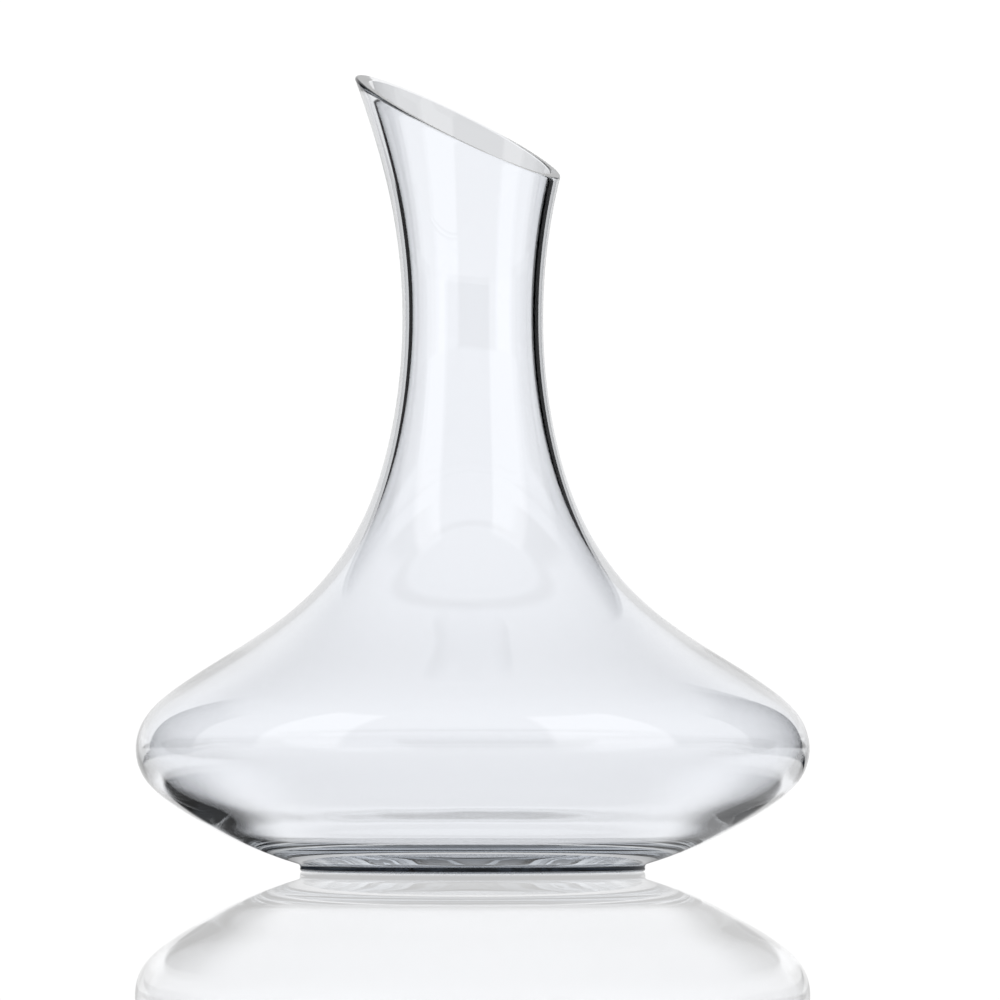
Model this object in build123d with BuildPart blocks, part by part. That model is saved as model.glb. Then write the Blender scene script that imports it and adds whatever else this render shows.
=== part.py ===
from build123d import *
import os

os.makedirs("parts", exist_ok=True)

# Wine decanter, blown as one continuous wall of clear glass.
# Millimetres. Z is the axis of the bowl and neck, the table is z = 0,
# and the high side of the slanted mouth, the pouring lip, is on -X.

# Foot and base
foot_radius = 51.2
foot_height = 2.1
foot_edge_round = 0.9
foot_corner_round = 0.8
bearing_ring_width = 5.2
punt_depth = 2.0
floor_height = 8.6
floor_edge_radius = 50.0
floor_edge_height = 8.9

# Bowl
bowl_radius = 100.0
bowl_widest_height = 36.5
bowl_wall = 2.6
underside_slope = 16.0

# Neck and mouth
waist_radius = 21.0
waist_height = 162.0
waist_wall = 3.0
flare_slope = 70.0
mouth_height_on_axis = 219.5
mouth_slant = 28.4
rim_round = 0.6

# Outside of the wall, going up: radius, height and wall thickness
wall_stations = [
    (62.5, 5.9, 3.9),  # underside, just outside the thick base
    (75.5, 12.0, 3.5),  # underside, nearly straight
    (90.4, 21.0, 3.2),  # underside, turning up
    (97.6, 28.0, 3.1),  # below the widest ring
    (bowl_radius, bowl_widest_height, bowl_wall),
    (97.6, 45.0, 2.3),  # above the widest ring
    (88.6, 54.0, 2.2),  # top of the bowl, turning in
    (70.1, 66.0, 2.4),  # shoulder, nearly straight
    (50.9, 80.0, 2.5),  # shoulder, sweeping up
    (35.1, 100.0, 2.7),  # root of the neck
    (24.9, 128.0, 2.9),  # neck
    (waist_radius, waist_height, waist_wall),
    (24.6, 200.0, 3.3),  # flare below the mouth
    (38.1, 244.0, 3.6),  # flare carried on past the cut of the mouth
]

foot_top = Vector(foot_radius, foot_height)
outer_points = [foot_top] + [Vector(radius, height) for radius, height, wall in wall_stations]
underside_direction = Vector(1, 0).rotate(Axis.Z, underside_slope)
flare_direction = Vector(1, 0).rotate(Axis.Z, flare_slope)
bearing_ring_radius = foot_radius - bearing_ring_width

with BuildPart() as decanter:
    with BuildSketch(Plane.XZ):
        with BuildLine():
            outside = Spline(*outer_points, tangents=(underside_direction, flare_direction))
            # The inside runs square to the outside, one wall thickness in at each station
            inner_points = []
            for radius, height, wall in wall_stations:
                along = outside.tangent_at(outside.param_at_point((radius, height)))
                inner_points.append(Vector(radius, height) + along.rotate(Axis.Z, 90) * wall)
            inside = Spline(
                (0, floor_height),
                (floor_edge_radius, floor_edge_height),
                *inner_points,
                tangents=((1, 0), flare_direction),
            )
            Line(outside @ 1, inside @ 1)
            Line(inside @ 0, (0, punt_depth))
            punt = TangentArc((0, punt_depth), (bearing_ring_radius, 0), tangent=(1, 0))
            bearing_ring = Line(punt @ 1, (foot_radius, 0))
            Line(bearing_ring @ 1, outside @ 0)
        make_face()
    revolve(axis=Axis.Z)

    # Edges of the low foot, rounded as they leave the mould
    foot_circles = decanter.edges().filter_by(GeomType.CIRCLE)
    fillet(foot_circles.sort_by_distance((foot_radius, 0, foot_height))[0], foot_corner_round)
    foot_circles = decanter.edges().filter_by(GeomType.CIRCLE)
    fillet(foot_circles.sort_by_distance((foot_radius, 0, 0))[0], foot_edge_round)

    # Mouth cut at a slant, its two edges softened in the flame
    mouth_plane = Plane.XY.offset(mouth_height_on_axis).rotated((0, mouth_slant, 0))
    split(bisect_by=mouth_plane, keep=Keep.BOTTOM)
    fillet(decanter.faces().filter_by(mouth_plane).edges(), radius=rim_round)

decanter.part.label = "decanter"
export_step(decanter.part, "parts/decanter.step")
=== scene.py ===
import math

import bpy
import numpy as np
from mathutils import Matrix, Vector


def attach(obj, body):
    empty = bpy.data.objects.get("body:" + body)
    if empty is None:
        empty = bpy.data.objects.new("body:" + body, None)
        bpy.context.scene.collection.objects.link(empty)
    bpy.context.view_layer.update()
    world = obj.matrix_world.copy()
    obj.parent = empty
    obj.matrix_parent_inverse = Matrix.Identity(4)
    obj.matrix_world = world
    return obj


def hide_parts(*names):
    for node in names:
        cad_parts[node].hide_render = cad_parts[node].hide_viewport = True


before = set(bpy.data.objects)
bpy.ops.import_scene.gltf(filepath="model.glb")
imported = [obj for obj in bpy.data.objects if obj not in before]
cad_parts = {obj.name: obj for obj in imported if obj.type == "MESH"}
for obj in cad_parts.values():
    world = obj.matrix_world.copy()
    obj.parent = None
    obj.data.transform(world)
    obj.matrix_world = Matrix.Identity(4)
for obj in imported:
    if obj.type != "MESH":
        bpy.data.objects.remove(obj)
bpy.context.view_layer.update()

MM = 0.001

# Sizes of the glass, in millimetres
FOOT_RADIUS = 51.2
FOOT_HEIGHT = 2.1
FOOT_EDGE_ROUND = 0.9
FOOT_CORNER_ROUND = 0.8
BEARING_RING_RADIUS = 46.0
PUNT_DEPTH = 2.0
FLOOR_HEIGHT = 8.6
FLOOR_EDGE = (50.0, 8.9)
UNDERSIDE_SLOPE = 16.0
FLARE_SLOPE = 70.0
MOUTH_HEIGHT = 219.5
MOUTH_SLANT = 28.4
RIM_ROUND = 0.6

# Outside of the wall, going up: radius, height and wall thickness
WALL_STATIONS = [
    (62.5, 5.9, 3.9),  # underside, just outside the thick base
    (75.5, 12.0, 3.5),  # underside, nearly straight
    (90.4, 21.0, 3.2),  # underside, turning up
    (97.6, 28.0, 3.1),  # below the widest ring
    (100.0, 36.5, 2.6),  # widest ring
    (97.6, 45.0, 2.3),  # above the widest ring
    (88.6, 54.0, 2.2),  # top of the bowl, turning in
    (70.1, 66.0, 2.4),  # shoulder, nearly straight
    (50.9, 80.0, 2.5),  # shoulder, sweeping up
    (35.1, 100.0, 2.7),  # root of the neck
    (24.9, 128.0, 2.9),  # neck
    (21.0, 162.0, 3.0),  # waist
    (24.6, 200.0, 3.3),  # flare below the mouth
    (38.1, 244.0, 3.6),  # flare carried on past the cut of the mouth
]

COLUMNS = 192  # mesh columns round the glass
ROW_STEP = 1.65  # mesh rows along the wall, in millimetres


def direction(degrees):
    return np.array([math.cos(math.radians(degrees)), math.sin(math.radians(degrees))])


class Curve:
    """A curve with continuous curvature through points in the (radius, height) plane."""

    def __init__(self, points, start_slope, end_slope):
        p = np.array(points, float)
        n = len(p)
        h = np.linalg.norm(np.diff(p, axis=0), axis=1)
        a, b = np.zeros((n, n)), np.zeros((n, 2))
        a[0, 0] = a[-1, -1] = 1
        b[0], b[-1] = direction(start_slope), direction(end_slope)
        for i in range(1, n - 1):
            a[i, i - 1], a[i, i + 1] = 1 / h[i - 1], 1 / h[i]
            a[i, i] = 2 * (a[i, i - 1] + a[i, i + 1])
            b[i] = 3 * ((p[i] - p[i - 1]) / h[i - 1] ** 2 + (p[i + 1] - p[i]) / h[i] ** 2)
        m = np.linalg.solve(a, b)
        xy = []
        for i in range(n - 1):
            t = np.linspace(0, 1, 200, endpoint=i == n - 2)[:, None]
            xy.append(
                (2 * t**3 - 3 * t**2 + 1) * p[i]
                + (t**3 - 2 * t**2 + t) * h[i] * m[i]
                + (3 * t**2 - 2 * t**3) * p[i + 1]
                + (t**3 - t**2) * h[i] * m[i + 1]
            )
        self.xy = np.concatenate(xy)
        steps = np.linalg.norm(np.diff(self.xy, axis=0), axis=1)
        self.s = np.concatenate([[0], np.cumsum(steps)])

    def at(self, s):
        """Points at distances s along the curve."""
        return np.stack([np.interp(s, self.s, self.xy[:, k]) for k in (0, 1)], -1)

    def along(self, s):
        """Unit direction at distance s."""
        d = self.at(s + 0.05) - self.at(s - 0.05)
        return d / np.linalg.norm(d)

    def nearest(self, point):
        return self.s[np.linalg.norm(self.xy - point, axis=1).argmin()]

    def crossing(self, height, slope):
        """Distance at which the curve first rises over the line height - slope * radius."""
        over = self.xy[:, 1] - (height - slope * self.xy[:, 0])
        i = int(np.argmax(over > 0))
        return self.s[i - 1] + (self.s[i] - self.s[i - 1]) * over[i - 1] / (over[i - 1] - over[i])


def rounded(before, corner, after, radius, count):
    """Points of an arc that rounds a corner, and how far it reaches along each side."""
    a = (before - corner) / np.linalg.norm(before - corner)
    b = (after - corner) / np.linalg.norm(after - corner)
    half = math.acos(float(np.clip(a @ b, -1, 1))) / 2
    reach = radius / math.tan(half)
    centre = corner + (a + b) / np.linalg.norm(a + b) * radius / math.sin(half)
    u, v = corner + a * reach - centre, corner + b * reach - centre
    turn = math.pi - 2 * half
    t = np.linspace(0, 1, count)[:, None]
    arc = centre + (np.sin((1 - t) * turn) * u + np.sin(t * turn) * v) / math.sin(turn)
    return arc, reach


def spaced(start, end, count):
    """count points from start up to but not including end."""
    t = np.linspace(0, 1, count, endpoint=False)[:, None]
    return np.array(start) + (np.array(end) - np.array(start)) * t


outside = Curve(
    [(FOOT_RADIUS, FOOT_HEIGHT)] + [(r, z) for r, z, wall in WALL_STATIONS],
    UNDERSIDE_SLOPE,
    FLARE_SLOPE,
)
inner_points = []
for r, z, wall in WALL_STATIONS:
    t = outside.along(outside.nearest((r, z)))
    inner_points.append((r - t[1] * wall, z + t[0] * wall))
inside = Curve([(0, FLOOR_HEIGHT), FLOOR_EDGE] + inner_points, 0, FLARE_SLOPE)

# Under the base, from the axis out: shallow dome, bearing ring, foot edge, foot side, corner
dome_radius = (BEARING_RING_RADIUS**2 + PUNT_DEPTH**2) / (2 * PUNT_DEPTH)
dome_r = np.linspace(0, BEARING_RING_RADIUS, 22)[1:]
dome = np.stack(
    [dome_r, PUNT_DEPTH - dome_radius + np.sqrt(dome_radius**2 - dome_r**2)], -1
)
edge, _ = rounded(
    dome[-1], np.array([FOOT_RADIUS, 0]), np.array([FOOT_RADIUS, FOOT_HEIGHT]), FOOT_EDGE_ROUND, 7
)
corner, corner_reach = rounded(
    np.array([FOOT_RADIUS, 0]), outside.xy[0], outside.at(1.0), FOOT_CORNER_ROUND, 6
)
ring = spaced(dome[-1], edge[0], 4)[1:]
base = np.concatenate([dome, ring, edge, corner])

# Rows are level rings up to just below the waist, then tilt more and more to follow the mouth
LEVEL_UP_TO = (21.2, 150.0)
LEVEL_UP_TO_INSIDE = (18.3, 150.0)
MIDDLE_OF_MOUTH = (24.6, 220.0)
level_end = outside.nearest(LEVEL_UP_TO)
level_rows = int((level_end - corner_reach) / ROW_STEP)
tilted_rows = int((outside.nearest(MIDDLE_OF_MOUTH) - level_end) / ROW_STEP)
inside_level_end = inside.nearest(LEVEL_UP_TO_INSIDE)
inside_rows = int(inside_level_end / ROW_STEP)


def section(angle):
    """The glass cut along one angle: from under its middle, up round the rim, to the floor inside."""
    slope = math.tan(math.radians(MOUTH_SLANT)) * math.cos(angle)
    out_end = outside.crossing(MOUTH_HEIGHT, slope)
    in_end = inside.crossing(MOUTH_HEIGHT, slope)
    out_corner, in_corner = outside.at(out_end), inside.at(in_end)
    out_arc, out_reach = rounded(outside.at(out_end - 1), out_corner, in_corner, RIM_ROUND, 11)
    in_arc, in_reach = rounded(out_corner, in_corner, inside.at(in_end - 1), RIM_ROUND, 7)
    return np.concatenate(
        [
            base,
            outside.at(np.linspace(corner_reach, level_end, level_rows, endpoint=False)[1:]),
            outside.at(np.linspace(level_end, out_end - out_reach, tilted_rows, endpoint=False)),
            out_arc,
            spaced(out_arc[-1], in_arc[0], 4)[1:],
            in_arc,
            inside.at(np.linspace(in_end - in_reach, inside_level_end, tilted_rows, endpoint=False)[1:]),
            inside.at(np.linspace(inside_level_end, 0, inside_rows, endpoint=False)),
        ]
    )


def glass_mesh(name):
    angles = np.arange(COLUMNS) * 2 * math.pi / COLUMNS
    sections = np.array([section(a) for a in angles])
    rows = sections.shape[1]
    r, z = sections[:, :, 0], sections[:, :, 1]
    xyz = np.stack([r * np.cos(angles)[:, None], r * np.sin(angles)[:, None], z], -1)
    verts = np.concatenate([xyz.reshape(-1, 3), [[0, 0, PUNT_DEPTH], [0, 0, FLOOR_HEIGHT]]]) * MM
    here = np.arange(COLUMNS)[:, None] * rows
    there = np.roll(here, -1, axis=0)
    k = np.arange(rows - 1)[None, :]
    quads = np.stack([here + k, there + k, there + k + 1, here + k + 1], -1).reshape(-1, 4)
    under, floor = len(verts) - 2, len(verts) - 1
    a, b = here[:, 0], there[:, 0]
    fans = [(int(j), int(i), under) for i, j in zip(a, b)]
    fans += [(int(i), int(j), floor) for i, j in zip(a + rows - 1, b + rows - 1)]
    mesh = bpy.data.meshes.new(name)
    mesh.from_pydata(verts.tolist(), [], quads.tolist() + fans)
    mesh.shade_smooth()
    mesh.validate()
    return mesh


glass = bpy.data.objects.new("decanter_glass", glass_mesh("decanter_glass"))
bpy.context.collection.objects.link(glass)
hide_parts("decanter")
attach(glass, "root")


# Node helpers
class Nodes:
    def __init__(self, tree):
        self.tree = tree
        tree.nodes.clear()

    def add(self, kind, **sockets):
        n = self.tree.nodes.new(kind)
        for name, value in sockets.items():
            self.put(n, name, value)
        return n

    def put(self, n, name, value):
        s = n.inputs[name] if isinstance(name, int) else n.inputs[name.replace("_", " ")]
        if isinstance(value, bpy.types.NodeSocket):
            self.tree.links.new(value, s)
        else:
            s.default_value = value

    def math(self, operation, *values):
        n = self.tree.nodes.new("ShaderNodeMath")
        n.operation = operation
        for i, v in enumerate(values):
            self.put(n, i, v)
        return n.outputs[0]

    def dot(self, vector, way):
        n = self.tree.nodes.new("ShaderNodeVectorMath")
        n.operation = "DOT_PRODUCT"
        self.put(n, 0, vector)
        self.put(n, 1, way)
        return n.outputs["Value"]

    def ramp(self, value, low, high, start=0.0, end=1.0):
        """start below low, end above high, and smooth between them."""
        n = self.tree.nodes.new("ShaderNodeMapRange")
        n.interpolation_type = "SMOOTHSTEP"
        for i, v in enumerate((value, low, high, start, end)):
            self.put(n, i, v)
        return n.outputs[0]

    def band(self, value, low, high, soft):
        """1 between low and high, fading to 0 within soft of each."""
        up = self.ramp(value, low - soft, low + soft)
        down = self.ramp(value, high - soft, high + soft, 1.0, 0.0)
        return self.math("MULTIPLY", up, down)

    def product(self, *values):
        out = values[0]
        for v in values[1:]:
            out = self.math("MULTIPLY", out, v)
        return out

    def blend(self, factor, a, b):
        """a where factor is 0 and b where it is 1."""
        n = self.tree.nodes.new("ShaderNodeMapRange")
        for i, v in enumerate((factor, 0.0, 1.0, a, b)):
            self.put(n, i, v)
        return n.outputs[0]


# Camera: nearly level with the table, 26 degrees round from the front, with a long lens
VIEW_AZIMUTH = math.radians(26.0)
CAMERA_DISTANCE = 2.0
CAMERA_HEIGHT = 0.0297
AIM_RIGHT, AIM_HEIGHT = 0.0081, 0.1103
FRAME_WIDTH = 0.29736
towards = (math.sin(VIEW_AZIMUTH), -math.cos(VIEW_AZIMUTH), 0.0)
away = tuple(-v for v in towards)
rightward = (math.cos(VIEW_AZIMUTH), math.sin(VIEW_AZIMUTH), 0.0)

camera = bpy.data.objects.new("camera", bpy.data.cameras.new("camera"))
bpy.context.collection.objects.link(camera)
place = np.array(towards) * CAMERA_DISTANCE + np.array([0, 0, CAMERA_HEIGHT])
aim = np.array(rightward) * AIM_RIGHT + np.array([0, 0, AIM_HEIGHT])
camera.location = place
camera.rotation_mode = "QUATERNION"
camera.rotation_quaternion = Vector(aim - place).to_track_quat("-Z", "Y")
camera.data.sensor_width = 36.0
camera.data.lens = 36.0 * float(np.linalg.norm(aim - place)) / FRAME_WIDTH
camera.data.clip_end = 100.0
bpy.context.scene.camera = camera


# Glass
GLASS_COLOUR = (0.968, 0.978, 1.0, 1)
GLASS_IOR = 1.5
TINT_COLOUR = (0.70, 0.80, 0.92, 1.0)
TINT_PER_METRE = 6.0
WAVES_PER_METRE = 40.0
WAVE_HEIGHT = 0.00004
SMUDGES_PER_METRE = 30.0
SMUDGE_ROUGHNESS = 0.02
SCUFFS_PER_METRE = 900.0
SCUFF_ROUGHNESS = 0.35


def glass_material():
    """Clear blown glass: slow waves in the surface, faint handling marks, a scuffed bearing ring."""
    m = bpy.data.materials.new("clear_glass")
    m.use_nodes = True
    k = Nodes(m.node_tree)
    place = k.add("ShaderNodeTexCoord").outputs["Object"]
    waves = k.add("ShaderNodeTexNoise", Vector=place, Scale=WAVES_PER_METRE, Detail=1.0)
    bump = k.add("ShaderNodeBump", Height=waves.outputs[0], Distance=WAVE_HEIGHT)
    hands = k.add("ShaderNodeTexNoise", Vector=place, Scale=SMUDGES_PER_METRE, Detail=4.0)
    smudges = k.ramp(hands.outputs[0], 0.52, 0.75, 0.0, SMUDGE_ROUGHNESS)
    grain = k.add("ShaderNodeTexNoise", Vector=place, Scale=SCUFFS_PER_METRE, Detail=2.0)
    scuffs = k.ramp(grain.outputs[0], 0.45, 0.65, 0.0, SCUFF_ROUGHNESS)
    near_table = k.ramp(k.dot(place, (0, 0, 1)), 0.0002, 0.0006, 1.0, 0.0)
    p = k.add("ShaderNodeBsdfPrincipled")
    p.inputs["Base Color"].default_value = GLASS_COLOUR
    p.inputs["IOR"].default_value = GLASS_IOR
    p.inputs["Transmission Weight"].default_value = 1.0
    k.put(p, "Roughness", k.math("MAXIMUM", smudges, k.product(scuffs, near_table)))
    k.put(p, "Normal", bump.outputs[0])
    tint = k.add("ShaderNodeVolumeAbsorption", Color=TINT_COLOUR, Density=TINT_PER_METRE)
    k.add("ShaderNodeOutputMaterial", Surface=p.outputs[0], Volume=tint.outputs[0])
    return m


glass.data.materials.append(glass_material())


# Floor: distances from the axis in metres, angles in degrees clockwise from straight behind
DEGREES = 57.29578
WHITE = 1.05  # a touch over full white, as the camera sees the floor and the background
FLOOR_MIRROR = 0.5
FLOOR_HALF_WIDTH = 6
FLAG_RIGHT = (27, 70)
FLAG_LEFT = (-70, -36)
MANY_TIMES = (8.0, 14.0)  # reflections inside the glass after which light counts as guided
# Painted shade: the share of light kept once it counts as guided
GUIDED_LIGHT = 0.1


def floor_material():
    """White and glossy to the camera; to light through the glass it glows with painted shade: darker
    near the foot, under the bowl and far to the sides.
    """
    m = bpy.data.materials.new("glossy_white_floor")
    m.use_nodes = True
    k = Nodes(m.node_tree)
    out = k.add("ShaderNodeOutputMaterial")
    place = k.add("ShaderNodeNewGeometry").outputs["Position"]
    side, depth = k.dot(place, rightward), k.dot(place, away)
    radius = k.math("SQRT", k.math("ADD", k.product(side, side), k.product(depth, depth)))
    az = k.product(k.math("ARCTAN2", side, depth), DEGREES)
    # Painted shade: seen through the glass the floor glows at 0.92 near the decanter, rising to 1.0 far
    # off
    painted_floor_light = k.ramp(radius, 0.3, 2.5, 0.92, 1.0)
    # Contact shadow: a ring just outside the foot, lighter again under the base
    painted_floor_light = k.blend(k.ramp(radius, 0.058, 0.068, 1.0, 0.0), painted_floor_light, 0.2)
    painted_floor_light = k.blend(k.ramp(radius, 0.048, 0.055, 1.0, 0.0), painted_floor_light, 0.75)
    # Painted shade: a dark patch either side under the bowl, seen only through the glass, for the dark
    # bands along its underside
    under = k.band(radius, 0.058, 0.130, 0.005)
    painted_floor_light = k.blend(k.product(under, k.band(az, -110, -50, 12.0)), painted_floor_light, 0.04)
    painted_floor_light = k.blend(k.product(under, k.band(az, 54, 108, 12.0)), painted_floor_light, 0.25)
    # Painted shade: far off, the floor in front of the flags is painted as black as they are
    far_painted_shade = k.ramp(radius, 0.30, 0.40)
    painted_floor_light = k.blend(k.product(far_painted_shade, k.band(az, -80, -38, 2.0)), painted_floor_light, 0.0)
    painted_floor_light = k.blend(k.product(far_painted_shade, k.band(az, 29, 80, 2.0)), painted_floor_light, 0.0)
    # Painted shade: light seen after many reflections inside the glass is dimmed to GUIDED_LIGHT
    path = k.add("ShaderNodeLightPath")
    guided = k.ramp(path.outputs["Glossy Depth"], *MANY_TIMES)
    painted_floor_light = k.product(painted_floor_light, k.blend(guided, 1.0, GUIDED_LIGHT))
    # The camera sees an even white floor with a real mirror in it; all other rays see the painted floor
    # light
    seen = path.outputs["Is Camera Ray"]
    white = k.add("ShaderNodeEmission", Color=(1, 1, 1, 1), Strength=k.blend(seen, painted_floor_light, WHITE))
    gloss = k.add("ShaderNodeBsdfGlossy", Color=(1, 1, 1, 1), Roughness=0.0)
    mix = k.add("ShaderNodeMixShader", Fac=k.product(seen, FLOOR_MIRROR))
    m.node_tree.links.new(white.outputs[0], mix.inputs[1])
    m.node_tree.links.new(gloss.outputs[0], mix.inputs[2])
    m.node_tree.links.new(mix.outputs[0], out.inputs["Surface"])
    return m


floor_mesh = bpy.data.meshes.new("floor")
h = FLOOR_HALF_WIDTH
floor_mesh.from_pydata([(-h, -h, 0), (h, -h, 0), (h, h, 0), (-h, h, 0)], [], [(0, 1, 2, 3)])
floor = bpy.data.objects.new("floor", floor_mesh)
bpy.context.collection.objects.link(floor)
floor.data.materials.append(floor_material())


# Studio: brightness of each part, and where the softboxes stand
BACKDROP = 1.0
CEILING = 0.4
SOFTBOX = 1.3
SOFTBOX_RIGHT = (107, 152)
SOFTBOX_LEFT = (-134, -101)
SOFTBOX_RISE = (-22, 60)
# Painted shade: the share of studio light kept through one wall only, and after two or more reflections
ONE_WALL_LIGHT = 0.78
ECHO_LIGHT = 0.4


def studio():
    """White behind the glass, black flags either side of it, softboxes in front, a dim ceiling."""
    world = bpy.data.worlds.new("studio")
    bpy.context.scene.world = world
    world.use_nodes = True
    k = Nodes(world.node_tree)
    way = k.add("ShaderNodeTexCoord").outputs["Generated"]
    side, depth, up = k.dot(way, rightward), k.dot(way, away), k.dot(way, (0, 0, 1))
    az = k.product(k.math("ARCTAN2", side, depth), DEGREES)
    el = k.product(k.math("ARCSINE", up), DEGREES)
    off = k.math("ABSOLUTE", az)

    light = k.ramp(off, 70, 150, 0.6, 0.2)  # sides of the room, darker towards the camera
    light = k.blend(k.ramp(el, 26, 50), light, CEILING)
    gap = k.band(az, FLAG_LEFT[1], FLAG_RIGHT[0], 0.7)
    light = k.blend(k.product(gap, k.ramp(el, 24, 42, 1.0, 0.0)), light, BACKDROP)
    low = k.ramp(el, 35, 45, 1.0, 0.0)
    for flag in (FLAG_RIGHT, FLAG_LEFT):
        light = k.blend(k.product(k.band(az, *flag, 0.7), low), light, 0.0)
    for box in (SOFTBOX_RIGHT, SOFTBOX_LEFT):
        front = k.product(k.band(az, *box, 2.0), k.band(el, *SOFTBOX_RISE, 3))
        light = k.blend(front, light, SOFTBOX)
    # Painted shade: studio light that crossed one wall only, was reflected twice or more, or was guided
    # along the wall is dimmed
    path = k.add("ShaderNodeLightPath")
    walls = k.band(path.outputs["Transmission Depth"], 0.5, 2.5, 0.1)
    echoes = k.ramp(path.outputs["Glossy Depth"], 1.2, 1.8)
    guided = k.ramp(path.outputs["Glossy Depth"], *MANY_TIMES)
    light = k.product(light, k.blend(walls, 1.0, ONE_WALL_LIGHT), k.blend(echoes, 1.0, ECHO_LIGHT))
    light = k.product(light, k.blend(guided, 1.0, GUIDED_LIGHT))
    light = k.blend(path.outputs["Is Camera Ray"], light, WHITE)
    sky = k.add("ShaderNodeBackground", Color=(1, 1, 1, 1), Strength=light)
    out = k.add("ShaderNodeOutputWorld")
    world.node_tree.links.new(sky.outputs[0], out.inputs["Surface"])


studio()

BOUNCES = 64  # light is reflected many times inside the thick base
scene = bpy.context.scene
scene.view_settings.view_transform = "Standard"
scene.cycles.max_bounces = BOUNCES
scene.cycles.transmission_bounces = BOUNCES
scene.cycles.glossy_bounces = BOUNCES
scene.cycles.diffuse_bounces = 3
scene.cycles.caustics_reflective = True
scene.cycles.caustics_refractive = True
